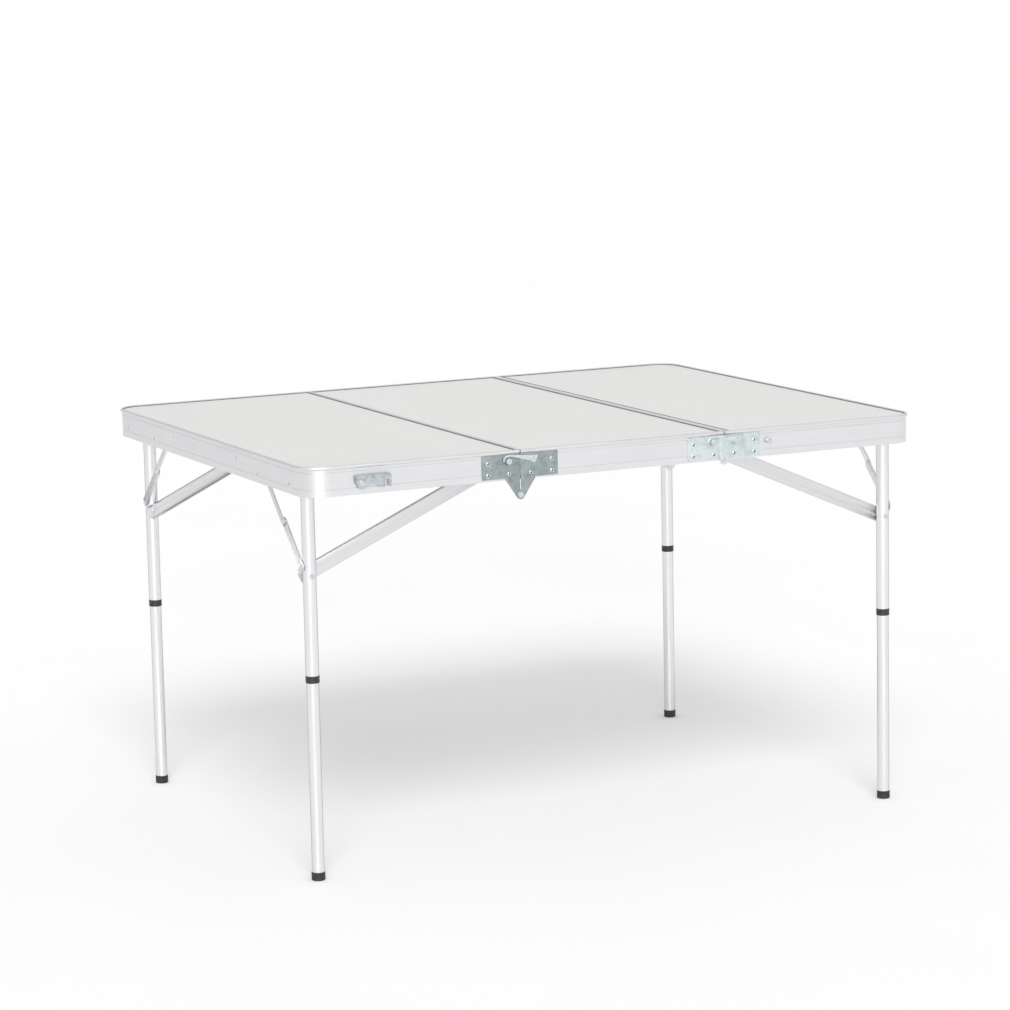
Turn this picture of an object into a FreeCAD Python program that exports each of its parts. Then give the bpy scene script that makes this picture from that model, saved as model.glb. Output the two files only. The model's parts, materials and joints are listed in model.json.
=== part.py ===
import FreeCAD, Part
import math
import os

from FreeCAD import Placement, Rotation, Vector

# Three-panel folding picnic table: aluminium rails, laminate boards, four telescopic legs.
# Frame: X along the table, Y across it (front is -Y), Z up, floor at Z = 0, millimetres.

DIMENSIONS = [
    ("table_length", 1160.0),
    ("table_width", 910.0),
    ("table_height", 700.0),
    ("rail_height", 50.0),
    ("corner_radius", 45.0),
    ("lip_overhang", 3.0),
    ("rail_wall", 1.8),
    ("ledge_reach", 12.0),
    ("flange_reach", 9.6),
    ("board_thickness", 8.0),
    ("board_recess", 2.8),
    ("seam_gap", 1.6),
    ("leaf_thickness", 1.2),
    ("leaf_length", 70.0),
    ("latch_thickness", 1.8),
    ("leg_outer_radius", 11.2),
    ("leg_bore_radius", 10.5),
    ("lower_leg_radius", 10.45),
    ("lower_leg_bore", 9.5),
    ("front_leg_inset_x", 31.0),
    ("back_leg_inset_x", 43.5),
    ("back_leg_tilt", 2.0),
    ("leg_inset_y", 66.0),
    ("leg_hinge_height", 665.0),
    ("leg_upper_bottom", 343.0),
    ("lower_leg_top", 380.0),
    ("collar_radius", 11.8),
    ("collar_height", 12.0),
    ("foot_radius", 11.5),
    ("foot_height", 14.0),
    ("brace_rivet_height", 513.0),
    ("brace_width", 24.6),
    ("brace_depth", 8.4),
    ("sheet_thickness", 1.2),
    ("strut_width", 14.0),
    ("strut_depth", 3.4),
]
DIM = dict(DIMENSIONS)

LENGTH = DIM["table_length"]
WIDTH = DIM["table_width"]
TOP = DIM["table_height"]
RAIL_BOTTOM = TOP - DIM["rail_height"]
SEAM_X = LENGTH / 6.0
PANEL_END = SEAM_X + DIM["seam_gap"] / 2.0
MIDDLE_END = SEAM_X - DIM["seam_gap"] / 2.0
HALF_LENGTH = LENGTH / 2.0
HALF_WIDTH = WIDTH / 2.0
WALL_FACE = HALF_WIDTH - DIM["lip_overhang"]
WALL_INSIDE = DIM["lip_overhang"] + DIM["rail_wall"]
LEDGE_TOP = TOP - DIM["board_recess"] - DIM["board_thickness"]
LEDGE_THICKNESS = 1.8
FLANGE_THICKNESS = 1.6
FRONT_LEG_X = HALF_LENGTH - DIM["front_leg_inset_x"]
BACK_LEG_X = HALF_LENGTH - DIM["back_leg_inset_x"]
LEG_Y = HALF_WIDTH - DIM["leg_inset_y"]
LEG_HINGE_Z = DIM["leg_hinge_height"]
LEAF_OUT = WALL_FACE + DIM["leaf_thickness"]
LATCH_IN = HALF_WIDTH + 0.3
LATCH_OUT = LATCH_IN + DIM["latch_thickness"]
LEFT_PIVOT_Z = RAIL_BOTTOM - 26.0
RIGHT_PIVOT_Z = RAIL_BOTTOM - 0.5

doc = FreeCAD.newDocument("picnic_table")
sheet = doc.addObject("Spreadsheet::Sheet", "Dimensions")
for row, (alias, number) in enumerate(DIMENSIONS, start=1):
    sheet.set("A%d" % row, alias)
    sheet.set("B%d" % row, str(number))
    sheet.setAlias("B%d" % row, alias)
doc.recompute()

PLANE_ROLE = {"XY": "XY_Plane", "XZ": "XZ_Plane", "YZ": "YZ_Plane"}
nodes = {}


def bind(target, prop, expression):
    """Drive one property from the dimension sheet."""
    if expression:
        target.setExpression(prop, expression)


def new_body(name):
    return doc.addObject("PartDesign::Body", name)


def origin_plane(body, plane):
    for feature in body.Origin.OriginFeatures:
        if feature.Role == PLANE_ROLE[plane]:
            return feature
    raise RuntimeError("no plane " + plane)


def edges_of(outline):
    """Closed chain of lines and arcs; an arc is ("arc", middle, end)."""
    chain = []
    first = outline[0]
    here = first
    for step in list(outline[1:]) + [first]:
        start = Vector(here[0], here[1], 0)
        if step[0] == "arc":
            middle = Vector(step[1][0], step[1][1], 0)
            end = Vector(step[2][0], step[2][1], 0)
            chain.append(Part.Arc(start, middle, end))
            here = step[2]
            continue
        if math.hypot(step[0] - here[0], step[1] - here[1]) < 1e-6:
            continue
        chain.append(Part.LineSegment(start, Vector(step[0], step[1], 0)))
        here = step
    return chain


def add_sketch(body, plane, offset, outlines, circles=()):
    """Sketch on an origin plane, moved along the plane's normal by offset."""
    sketch = body.newObject("Sketcher::SketchObject", body.Name + "_sketch")
    sketch.AttachmentSupport = [(origin_plane(body, plane), "")]
    sketch.MapMode = "FlatFace"
    sketch.AttachmentOffset = Placement(Vector(0, 0, offset), Rotation())
    for outline in outlines:
        sketch.addGeometry(edges_of(outline), False)
    for (cx, cy, radius) in circles:
        sketch.addGeometry(Part.Circle(Vector(cx, cy, 0), Vector(0, 0, 1), radius), False)
    return sketch


def pad(body, plane, start, length, outlines, circles=(), expression=None):
    """Add material from start to start + length along the positive axis."""
    offset = -(start + length) if plane == "XZ" else start
    sketch = add_sketch(body, plane, offset, outlines, circles)
    feature = body.newObject("PartDesign::Pad", body.Name + "_pad")
    feature.Profile = sketch
    feature.Length = length
    bind(feature, "Length", expression)
    doc.recompute()
    return feature


def pocket(body, plane, start, length, outlines, circles=()):
    """Take material away from start to start + length along the positive axis."""
    offset = -start if plane == "XZ" else start + length
    sketch = add_sketch(body, plane, offset, outlines, circles)
    feature = body.newObject("PartDesign::Pocket", body.Name + "_pocket")
    feature.Profile = sketch
    feature.Length = length
    doc.recompute()
    return feature


def rectangle(x0, y0, x1, y1):
    return [(x0, y0), (x1, y0), (x1, y1), (x0, y1)]


def capsule(ax, ay, bx, by, radius):
    """Slot outline around the segment from a to b."""
    run = math.hypot(bx - ax, by - ay)
    ux = (bx - ax) / run
    uy = (by - ay) / run
    px = -uy * radius
    py = ux * radius
    return [
        (ax + px, ay + py),
        ("arc", (ax - ux * radius, ay - uy * radius), (ax - px, ay - py)),
        (bx - px, by - py),
        ("arc", (bx + ux * radius, by + uy * radius), (bx + px, by + py)),
    ]


def chamfer_rims(body, radius, size):
    """Chamfer every circular edge of one radius."""
    last = body.Tip
    rims = [
        "Edge%d" % number
        for number, edge in enumerate(body.Shape.Edges, start=1)
        if hasattr(edge.Curve, "Radius") and abs(edge.Curve.Radius - radius) < 1e-6
    ]
    feature = body.newObject("PartDesign::Chamfer", body.Name + "_chamfer")
    feature.Base = (last, rims)
    feature.Size = size
    doc.recompute()


def mirror(name, source, normal):
    copy = doc.addObject("Part::Mirroring", name)
    copy.Source = source
    copy.Base = Vector(0, 0, 0)
    copy.Normal = normal
    doc.recompute()
    return copy


def front_and_back(name, source):
    """The source at the front and its mirror image at the back."""
    return [source, mirror(name + "_back", source, Vector(0, 1, 0))]


def lathe(name, base, axis, steps):
    """Coaxial turned piece; steps are (start, end, radius) along axis from base."""
    pieces = []
    for number, (start, end, radius) in enumerate(steps):
        piece = doc.addObject("Part::Cylinder", "%s_step%d" % (name, number))
        piece.Radius = radius
        piece.Height = end - start
        piece.Placement = Placement(base + axis * start, Rotation(Vector(0, 0, 1), axis))
        pieces.append(piece)
    if len(pieces) == 1:
        doc.recompute()
        return pieces[0]
    joined = doc.addObject("Part::MultiFuse", name)
    joined.Shapes = pieces
    joined.Refine = True
    doc.recompute()
    return joined


def rivet_head(name, base, axis, radius=3.2, height=1.3):
    """Low domed head standing on a surface at base."""
    ball = (radius * radius + height * height) / (2.0 * height)
    head = doc.addObject("Part::Sphere", name)
    head.Radius = ball
    head.Angle1 = math.degrees(math.asin((ball - height) / ball))
    head.Angle2 = 90.0
    head.Placement = Placement(base - axis * (ball - height), Rotation(Vector(0, 0, 1), axis))
    doc.recompute()
    return head


# ---------------------------------------------------------------- rails and boards

def rail_section(inward):
    """Rail profile as (y, z); inward(t) gives y at a distance t inside the lip."""
    bead = DIM["lip_overhang"] + 0.2
    bead_z = TOP - bead
    face = DIM["lip_overhang"]
    groove_face = face + 0.5
    points = [(face, RAIL_BOTTOM)]
    for groove_z in (RAIL_BOTTOM + 11.5, RAIL_BOTTOM + 39.0):
        points += [
            (face, groove_z - 0.9),
            (groove_face, groove_z - 0.4),
            (groove_face, groove_z + 0.4),
            (face, groove_z + 0.9),
        ]
    points.append((face, bead_z - bead))
    chain = [(inward(t), z) for (t, z) in points]
    chain.append(("arc", (inward(0.0), bead_z), (inward(bead), TOP)))
    inside = WALL_INSIDE
    under_ledge = LEDGE_TOP - LEDGE_THICKNESS
    flange_top = RAIL_BOTTOM + FLANGE_THICKNESS
    for (t, z) in [
        (inside, TOP - 1.0),
        (inside, LEDGE_TOP),
        (DIM["ledge_reach"], LEDGE_TOP),
        (DIM["ledge_reach"], under_ledge),
        (inside, under_ledge),
        (inside, flange_top),
        (DIM["flange_reach"], flange_top),
        (DIM["flange_reach"], RAIL_BOTTOM),
    ]:
        chain.append((inward(t), z))
    return chain


edge_rail = new_body("left_edge_rail")
path_radius = DIM["corner_radius"] - DIM["lip_overhang"]
path_x = HALF_LENGTH - DIM["lip_overhang"]
path_y = WALL_FACE
bend = path_radius * (1.0 - math.sqrt(0.5))
path = add_sketch(edge_rail, "XY", RAIL_BOTTOM, [])
path_corner_x = path_x - path_radius
path_corner_y = path_y - path_radius


def flat(x, y):
    return Vector(x, y, 0)


path.addGeometry([
    Part.LineSegment(flat(-PANEL_END, -path_y), flat(-path_corner_x, -path_y)),
    Part.Arc(
        flat(-path_corner_x, -path_y),
        flat(-path_x + bend, -path_y + bend),
        flat(-path_x, -path_corner_y),
    ),
    Part.LineSegment(flat(-path_x, -path_corner_y), flat(-path_x, path_corner_y)),
    Part.Arc(
        flat(-path_x, path_corner_y),
        flat(-path_x + bend, path_y - bend),
        flat(-path_corner_x, path_y),
    ),
    Part.LineSegment(flat(-path_corner_x, path_y), flat(-PANEL_END, path_y)),
], False)
section = add_sketch(edge_rail, "YZ", -PANEL_END, [rail_section(lambda t: -HALF_WIDTH + t)])
sweep = edge_rail.newObject("PartDesign::AdditivePipe", "left_edge_rail_sweep")
sweep.Profile = section
sweep.Spine = (path, ["Edge%d" % number for number in range(1, 6)])
doc.recompute()
nodes["left_edge_rail"] = [edge_rail]
nodes["right_edge_rail"] = [mirror("right_edge_rail", edge_rail, Vector(1, 0, 0))]

front_rail = new_body("middle_front_rail")
pad(front_rail, "YZ", -MIDDLE_END, 2.0 * MIDDLE_END, [rail_section(lambda t: -HALF_WIDTH + t)],
    expression="Dimensions.table_length / 3 - Dimensions.seam_gap")
nodes["middle_front_rail"] = [front_rail]
nodes["middle_back_rail"] = [mirror("middle_back_rail", front_rail, Vector(0, 1, 0))]


def seam_rail(name, face_x, inward):
    """Rail across the table at a seam; inward is +1 or -1 along X."""
    body = new_body(name)
    wall = face_x + inward * DIM["rail_wall"]
    ledge = face_x + inward * 8.0
    flange = face_x + inward * 7.8
    rim_half = HALF_WIDTH - WALL_INSIDE
    low_half = HALF_WIDTH - DIM["ledge_reach"] - 0.05
    lower = [
        (face_x, RAIL_BOTTOM),
        (face_x, LEDGE_TOP),
        (ledge, LEDGE_TOP),
        (ledge, LEDGE_TOP - LEDGE_THICKNESS),
        (wall, LEDGE_TOP - LEDGE_THICKNESS),
        (wall, RAIL_BOTTOM + FLANGE_THICKNESS),
        (flange, RAIL_BOTTOM + FLANGE_THICKNESS),
        (flange, RAIL_BOTTOM),
    ]
    rim = [
        (face_x, LEDGE_TOP),
        (face_x, TOP - 0.9),
        ("arc", ((face_x + wall) / 2.0, TOP), (wall, TOP - 0.9)),
        (wall, LEDGE_TOP),
    ]
    pad(body, "XZ", -low_half, 2.0 * low_half, [lower],
        expression="Dimensions.table_width - 2 * Dimensions.ledge_reach - 0.1")
    pad(body, "XZ", -rim_half, 2.0 * rim_half, [rim],
        expression="Dimensions.table_width - 2 * Dimensions.lip_overhang - 2 * Dimensions.rail_wall")
    return body


left_seam = seam_rail("left_seam_rail", -PANEL_END, -1)
middle_seam = seam_rail("middle_seam_rail", -MIDDLE_END, 1)
nodes["left_seam_rail"] = [left_seam]
nodes["right_seam_rail"] = [mirror("right_seam_rail", left_seam, Vector(1, 0, 0))]
nodes["middle_seam_rails"] = [
    middle_seam,
    mirror("middle_right_seam_rail", middle_seam, Vector(1, 0, 0)),
]

BOARD_INSET = 5.0
BOARD_SEAM_INSET = 2.0
board_y = HALF_WIDTH - BOARD_INSET
board_outer_x = HALF_LENGTH - BOARD_INSET
board_inner_x = PANEL_END + BOARD_SEAM_INSET
board_radius = DIM["corner_radius"] - BOARD_INSET
board_bend = board_radius * (1.0 - math.sqrt(0.5))
left_board = new_body("left_tabletop")
pad(left_board, "XY", LEDGE_TOP, DIM["board_thickness"], [[
    (-board_inner_x, -board_y),
    (-board_inner_x, board_y),
    (-board_outer_x + board_radius, board_y),
    ("arc", (-board_outer_x + board_bend, board_y - board_bend),
     (-board_outer_x, board_y - board_radius)),
    (-board_outer_x, -board_y + board_radius),
    ("arc", (-board_outer_x + board_bend, -board_y + board_bend),
     (-board_outer_x + board_radius, -board_y)),
]], expression="Dimensions.board_thickness")
nodes["left_tabletop"] = [left_board]
nodes["right_tabletop"] = [mirror("right_tabletop", left_board, Vector(1, 0, 0))]
middle_board = new_body("middle_tabletop")
middle_board_x = MIDDLE_END - BOARD_SEAM_INSET
pad(middle_board, "XY", LEDGE_TOP, DIM["board_thickness"],
    [rectangle(-middle_board_x, -board_y, middle_board_x, board_y)],
    expression="Dimensions.board_thickness")
nodes["middle_tabletop"] = [middle_board]

# ---------------------------------------------------------------- seam hinges

LEAF_LOW = RAIL_BOTTOM + 3.0
LEAF_HIGH = TOP - 7.0
LEAF_START = 0.5
LEAF_END = DIM["leaf_length"]
TAB_INNER_Y = LEAF_OUT + 0.3
TAB_OUTER_Y = TAB_INNER_Y + DIM["leaf_thickness"]
KNUCKLE_RADIUS = 7.5
PIN_RADIUS = 2.5
MOVING_HOLE = PIN_RADIUS + 0.06


def leaf_plate(name, seam_x, side, low):
    """Flat part of a leaf on the front wall; side is +1 right of the seam, -1 left."""
    body = new_body(name)
    near = seam_x + side * LEAF_START
    far = seam_x + side * LEAF_END
    turn = 1.2
    outline = [
        (near, low),
        (near, LEAF_HIGH),
        (far - side * turn, LEAF_HIGH),
        ("arc", (far - side * turn * 0.293, LEAF_HIGH - turn * 0.293), (far, LEAF_HIGH - turn)),
        (far, low + turn),
        ("arc", (far - side * turn * 0.293, low + turn * 0.293), (far - side * turn, low)),
    ]
    pad(body, "XZ", -LEAF_OUT, DIM["leaf_thickness"], [outline],
        expression="Dimensions.leaf_thickness")
    return body


def v_tab(seam_x, side, top_z):
    """Tab that narrows from the leaf down to the low pivot."""
    z = LEFT_PIVOT_Z
    r = KNUCKLE_RADIUS
    return [
        (seam_x + side * LEAF_START, top_z),
        (seam_x + side * 27.0, top_z),
        (seam_x + side * 27.0, RAIL_BOTTOM + 1.0),
        (seam_x + side * r * 0.94, z - r * 0.34),
        ("arc", (seam_x, z - r), (seam_x - side * r * 0.94, z - r * 0.34)),
        (seam_x - side * r * 0.94, z + r * 0.34),
        (seam_x + side * LEAF_START, z + r * 1.3),
    ]


left_seam_x = -SEAM_X
leaf_a = leaf_plate("left_hinge_left_leaf", left_seam_x, -1, LEAF_LOW)
pad(leaf_a, "XZ", -LEAF_OUT, DIM["leaf_thickness"], [v_tab(left_seam_x, -1, LEAF_LOW + 3.0)],
    expression="Dimensions.leaf_thickness")
pocket(leaf_a, "XZ", -LEAF_OUT - 1.0, 5.0, [], [(left_seam_x, LEFT_PIVOT_Z, MOVING_HOLE)])
nodes["left_hinge_outer_leaves"] = front_and_back("left_hinge_left_leaf", leaf_a)

leaf_b = leaf_plate("left_hinge_middle_leaf", left_seam_x, 1, LEAF_LOW)
pad(leaf_b, "XZ", -TAB_OUTER_Y, TAB_OUTER_Y - LEAF_OUT,
    [rectangle(left_seam_x + LEAF_START, LEAF_LOW, left_seam_x + 27.0, LEAF_LOW + 3.0)])
pad(leaf_b, "XZ", -TAB_OUTER_Y, DIM["leaf_thickness"], [v_tab(left_seam_x, 1, LEAF_LOW + 3.0)],
    expression="Dimensions.leaf_thickness")
pocket(leaf_b, "XZ", -TAB_OUTER_Y - 1.0, 5.0, [], [(left_seam_x, LEFT_PIVOT_Z, PIN_RADIUS)])
nodes["left_hinge_middle_leaves"] = front_and_back("left_hinge_middle_leaf", leaf_b)

right_seam_x = SEAM_X
leaf_c = leaf_plate("right_hinge_middle_leaf", right_seam_x, -1, LEAF_LOW)
pad(leaf_c, "XZ", -LEAF_OUT, DIM["leaf_thickness"], [[
    (right_seam_x - LEAF_START, LEAF_LOW + 6.0),
    (right_seam_x - LEAF_START, RIGHT_PIVOT_Z + KNUCKLE_RADIUS),
    ("arc", (right_seam_x + KNUCKLE_RADIUS * 0.7071, RIGHT_PIVOT_Z + KNUCKLE_RADIUS * 0.7071),
     (right_seam_x + KNUCKLE_RADIUS, RIGHT_PIVOT_Z)),
    ("arc", (right_seam_x, RIGHT_PIVOT_Z - KNUCKLE_RADIUS),
     (right_seam_x - KNUCKLE_RADIUS, RIGHT_PIVOT_Z)),
    (right_seam_x - 16.0, LEAF_LOW + 1.0),
    (right_seam_x - 16.0, LEAF_LOW + 6.0),
]], expression="Dimensions.leaf_thickness")
pocket(leaf_c, "XZ", -LEAF_OUT - 1.0, 5.0, [], [(right_seam_x, RIGHT_PIVOT_Z, PIN_RADIUS)])
nodes["right_hinge_middle_leaves"] = front_and_back("right_hinge_middle_leaf", leaf_c)

leaf_d = leaf_plate("right_hinge_right_leaf", right_seam_x, 1, LEAF_LOW)
pocket(leaf_d, "XZ", -LEAF_OUT - 1.0, 3.0, [], [(right_seam_x, RIGHT_PIVOT_Z, KNUCKLE_RADIUS + 0.6)])
pad(leaf_d, "XZ", -TAB_OUTER_Y, TAB_OUTER_Y - LEAF_OUT,
    [rectangle(right_seam_x + 9.0, LEAF_LOW, right_seam_x + 13.0, LEAF_HIGH)])
pad(leaf_d, "XZ", -TAB_OUTER_Y, DIM["leaf_thickness"], [[
    (right_seam_x - 10.0, LEAF_HIGH),
    (right_seam_x + 13.0, LEAF_HIGH),
    (right_seam_x + 13.0, LEAF_LOW - 1.0),
    (right_seam_x + KNUCKLE_RADIUS * 0.94, RIGHT_PIVOT_Z - KNUCKLE_RADIUS * 0.34),
    ("arc", (right_seam_x, RIGHT_PIVOT_Z - KNUCKLE_RADIUS),
     (right_seam_x - KNUCKLE_RADIUS * 0.94, RIGHT_PIVOT_Z - KNUCKLE_RADIUS * 0.34)),
    (right_seam_x - 10.0, LEAF_LOW + 3.0),
]], expression="Dimensions.leaf_thickness")
pocket(leaf_d, "XZ", -TAB_OUTER_Y - 1.0, 5.0, [], [(right_seam_x, RIGHT_PIVOT_Z, MOVING_HOLE)])
nodes["right_hinge_outer_leaves"] = front_and_back("right_hinge_right_leaf", leaf_d)

FRONT = Vector(0, -1, 0)


def at_front(x, depth, z):
    """Point on the front side; depth is the distance from the table's middle plane."""
    return Vector(x, -depth, z)


left_pin = lathe("left_hinge_pin", at_front(left_seam_x, WALL_FACE, LEFT_PIVOT_Z), FRONT, [
    (-1.5, -0.1, 5.0),
    (-0.2, TAB_OUTER_Y - WALL_FACE + 0.1, PIN_RADIUS),
    (TAB_OUTER_Y - WALL_FACE, TAB_OUTER_Y - WALL_FACE + 1.3, 5.0),
])
right_pin = lathe("right_hinge_pin", at_front(right_seam_x, WALL_FACE, RIGHT_PIVOT_Z), FRONT, [
    (0.1, TAB_OUTER_Y - WALL_FACE + 0.3, PIN_RADIUS),
    (TAB_OUTER_Y - WALL_FACE + 0.1, TAB_OUTER_Y - WALL_FACE + 1.3, 4.5),
])
nodes["hinge_pins"] = front_and_back("left_hinge_pin", left_pin) + front_and_back(
    "right_hinge_pin", right_pin)

# ---------------------------------------------------------------- hook latches and clasps

LATCH_Z = TOP - 18.0
STUD_REACH = 22.0
HOOK_PIVOT_REACH = 23.0
STUD_RADIUS = 3.0
SHOULDER_RADIUS = 4.2
HEAD_RADIUS = 5.0
HEAD_BASE = LATCH_OUT + 0.3
HEAD_THICKNESS = 1.2


def hook(name, seam_x):
    """Flat hook from a pivot right of the seam, curled round a stud left of it."""
    body = new_body(name)
    px = seam_x + HOOK_PIVOT_REACH
    sx = seam_x - STUD_REACH
    z = LATCH_Z
    outer = 10.5
    inner = 7.6
    drop = math.radians(2.0)
    outline = [
        (px, z - 5.2),
        ("arc", (px + 3.68, z - 3.68), (px + 5.2, z)),
        (px + 9.0, z + 5.2),
        (px + 9.0, z + 7.0),
        (sx + 4.0, z + outer),
        (sx, z + outer),
        ("arc", (sx - outer * 0.7071, z + outer * 0.7071),
         (sx - outer * math.cos(drop), z - outer * math.sin(drop))),
        (sx - inner * math.cos(drop), z - inner * math.sin(drop)),
        ("arc", (sx - inner * 0.7071, z + inner * 0.7071), (sx, z + inner)),
        (sx + 6.0, z + inner - 0.4),
        (px - 9.0, z - 0.5),
    ]
    pad(body, "XZ", -LATCH_OUT, DIM["latch_thickness"], [outline],
        [(px, z, PIN_RADIUS + 0.06)], expression="Dimensions.latch_thickness")
    return body


def stud(name, x, z, foot_depth):
    """Headed stud that a latch closes over."""
    reach = HEAD_BASE - foot_depth
    return lathe(name, at_front(x, foot_depth, z), FRONT, [
        (0.0, reach + 0.2, STUD_RADIUS),
        (reach, reach + HEAD_THICKNESS, HEAD_RADIUS),
    ])


def latch_pivot(name, x, z, foot_depth):
    """Shouldered rivet that a latch turns on."""
    shoulder = LATCH_IN - 0.15 - foot_depth
    reach = HEAD_BASE - 0.15 - foot_depth
    return lathe(name, at_front(x, foot_depth, z), FRONT, [
        (0.0, shoulder, SHOULDER_RADIUS),
        (shoulder - 0.1, reach + 0.1, PIN_RADIUS),
        (reach, reach + HEAD_THICKNESS, HEAD_RADIUS),
    ])


left_hook = hook("left_front_hook", left_seam_x)
right_hook = hook("right_front_hook", right_seam_x)
nodes["left_front_hook"] = [left_hook]
nodes["left_back_hook"] = [mirror("left_back_hook", left_hook, Vector(0, 1, 0))]
nodes["right_front_hook"] = [right_hook]
nodes["right_back_hook"] = [mirror("right_back_hook", right_hook, Vector(0, 1, 0))]

CLASP_X = -480.0
CLASP_Z = TOP - 32.0
CLASP_REACH = 44.0
CLASP_STUD_Z = TOP - 23.0
folded_pivot_x = -2.0 * SEAM_X - CLASP_X
folded_pivot_z = 2.0 * LEFT_PIVOT_Z - CLASP_Z
folded_stud_z = 2.0 * RIGHT_PIVOT_Z - CLASP_STUD_Z
clasp_run = math.sqrt(CLASP_REACH ** 2 - (folded_stud_z - folded_pivot_z) ** 2)
CLASP_STUD_X = 2.0 * SEAM_X - (folded_pivot_x + clasp_run)

clasp = new_body("front_clasp")
slot = STUD_RADIUS + 0.6


def on_clasp(along, up):
    return (CLASP_X + along, CLASP_Z + up)


pad(clasp, "XZ", -LATCH_OUT, DIM["latch_thickness"], [[
    on_clasp(-7.0, -4.0),
    on_clasp(-11.0, 3.0),
    on_clasp(-11.0, 13.5),
    on_clasp(50.0, 13.5),
    on_clasp(52.0, 11.5),
    on_clasp(52.0, -6.0),
    ("arc", on_clasp(51.3, -7.7), on_clasp(49.8, -8.0)),
    on_clasp(CLASP_REACH + slot, -8.0),
    on_clasp(CLASP_REACH + slot, 0.0),
    ("arc", on_clasp(CLASP_REACH, slot), on_clasp(CLASP_REACH - slot, 0.0)),
    on_clasp(CLASP_REACH - slot, -9.0),
    on_clasp(34.0, -8.0),
    ("arc", on_clasp(23.0, -3.2), on_clasp(13.0, -3.0)),
    on_clasp(5.0, -7.5),
    ("arc", on_clasp(-1.0, -9.0), on_clasp(-7.0, -4.0)),
]], [(CLASP_X, CLASP_Z, PIN_RADIUS + 0.06)], expression="Dimensions.latch_thickness")
pad(clasp, "XZ", -LATCH_OUT - 3.5, 3.6, [
    rectangle(CLASP_X - 11.0, CLASP_Z + 11.9, CLASP_X + 50.0, CLASP_Z + 13.5)
])
nodes["front_clasp"] = [clasp]
nodes["back_clasp"] = [mirror("back_clasp", clasp, Vector(0, 1, 0))]

# ---------------------------------------------------------------- rivets on each panel

RIVET_ROWS = (RAIL_BOTTOM + 10.0, RAIL_BOTTOM + 30.0)
RIVET_NEAR = 20.0
RIVET_FAR = 59.0
LEFTWARD = Vector(-1, 0, 0)
STRUT_REACH = 142.0
END_FACE = HALF_LENGTH - DIM["lip_overhang"]


def leaf_rivets(name, seam_x, side):
    """Three visible rivet heads; the fourth place is taken by the latch hardware."""
    spots = [(RIVET_FAR, RIVET_ROWS[0]), (RIVET_FAR, RIVET_ROWS[1]), (RIVET_NEAR, RIVET_ROWS[0])]
    return [
        rivet_head("%s_%d" % (name, number), at_front(seam_x + side * reach, LEAF_OUT, z), FRONT, 3.7)
        for number, (reach, z) in enumerate(spots)
    ]


def both_sides(pieces):
    """The pieces at the front and their mirror images at the back."""
    found = []
    for piece in pieces:
        found += front_and_back(piece.Name, piece)
    return found


left_front = leaf_rivets("left_leaf_rivet", left_seam_x, -1)
left_front.append(stud("left_hook_stud", left_seam_x - STUD_REACH, LATCH_Z, LEAF_OUT))
left_front.append(latch_pivot("clasp_pivot", CLASP_X, CLASP_Z, WALL_FACE))
end_spots = [(LEG_Y - 5.0, LEG_HINGE_Z + 2.0), (LEG_Y - STRUT_REACH, LEG_HINGE_Z)]
end_rivets = [
    rivet_head("end_rivet_%d" % number, Vector(-END_FACE, -y, z), LEFTWARD)
    for number, (y, z) in enumerate(end_spots)
]
end_rivets.append(rivet_head("end_rivet_board", Vector(-END_FACE, -151.0, TOP - 20.0), LEFTWARD, 2.6))
left_set = both_sides(left_front + end_rivets)
nodes["left_panel_rivets"] = left_set

middle_front = leaf_rivets("middle_leaf_rivet_l", left_seam_x, 1)
middle_front += leaf_rivets("middle_leaf_rivet_r", right_seam_x, -1)
middle_front.append(latch_pivot("left_hook_pivot", left_seam_x + HOOK_PIVOT_REACH, LATCH_Z, LEAF_OUT))
middle_front.append(stud("right_hook_stud", right_seam_x - STUD_REACH, LATCH_Z, LEAF_OUT))
nodes["middle_panel_rivets"] = both_sides(middle_front)

right_front = leaf_rivets("right_leaf_rivet", right_seam_x, 1)
right_front.append(latch_pivot("right_hook_pivot", right_seam_x + HOOK_PIVOT_REACH, LATCH_Z, LEAF_OUT))
right_front.append(stud("clasp_stud", CLASP_STUD_X, CLASP_STUD_Z, WALL_FACE))
right_set = both_sides(right_front)
for piece in both_sides(end_rivets):
    right_set.append(mirror(piece.Name + "_right", piece, Vector(1, 0, 0)))
nodes["right_panel_rivets"] = right_set

# ---------------------------------------------------------------- legs

# Each leg with its brace and strut is drawn at the left front and then mirrored. The back legs stand
# a little further in and fold along a line turned by a small tilt, so that front and back pass.
OUTWARD = Vector(-1, 0, 0)
UPWARD = Vector(0, 0, 1)
HINGE_PIN_RADIUS = 3.0
HINGE_HOLE = HINGE_PIN_RADIUS + 0.08
RIVET_SHANK = 2.4
PLATE_HALF = 11.0
HINGE_PIN_REACH = DIM["leg_outer_radius"] + 2.5
PLATE_THICKNESS = 1.5
WEB_LOW = LEDGE_TOP - LEDGE_THICKNESS - 1.6
END_INSIDE = HALF_LENGTH - WALL_INSIDE
BRACE_TOP_Z = LEG_HINGE_Z - 3.5
BRACE_TOP_X = PANEL_END + 15.5
BRACE_GAP = 0.8
STRUT_DROP = 137.0
STRUT_RUN = math.hypot(STRUT_REACH, STRUT_DROP)
UPPER_LINK = (STRUT_RUN - (STRUT_DROP - STRUT_REACH)) / 2.0
STRUT_OUT = DIM["leg_outer_radius"] + 0.5
UPPER_STRUT_IN = STRUT_OUT + DIM["strut_depth"] + 0.4
UPPER_STRUT_OUT = UPPER_STRUT_IN + 1.6
RIVET_END = DIM["leg_bore_radius"] + 0.05
SHEET = DIM["sheet_thickness"]
TUBE_FOOT = 4.0


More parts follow.
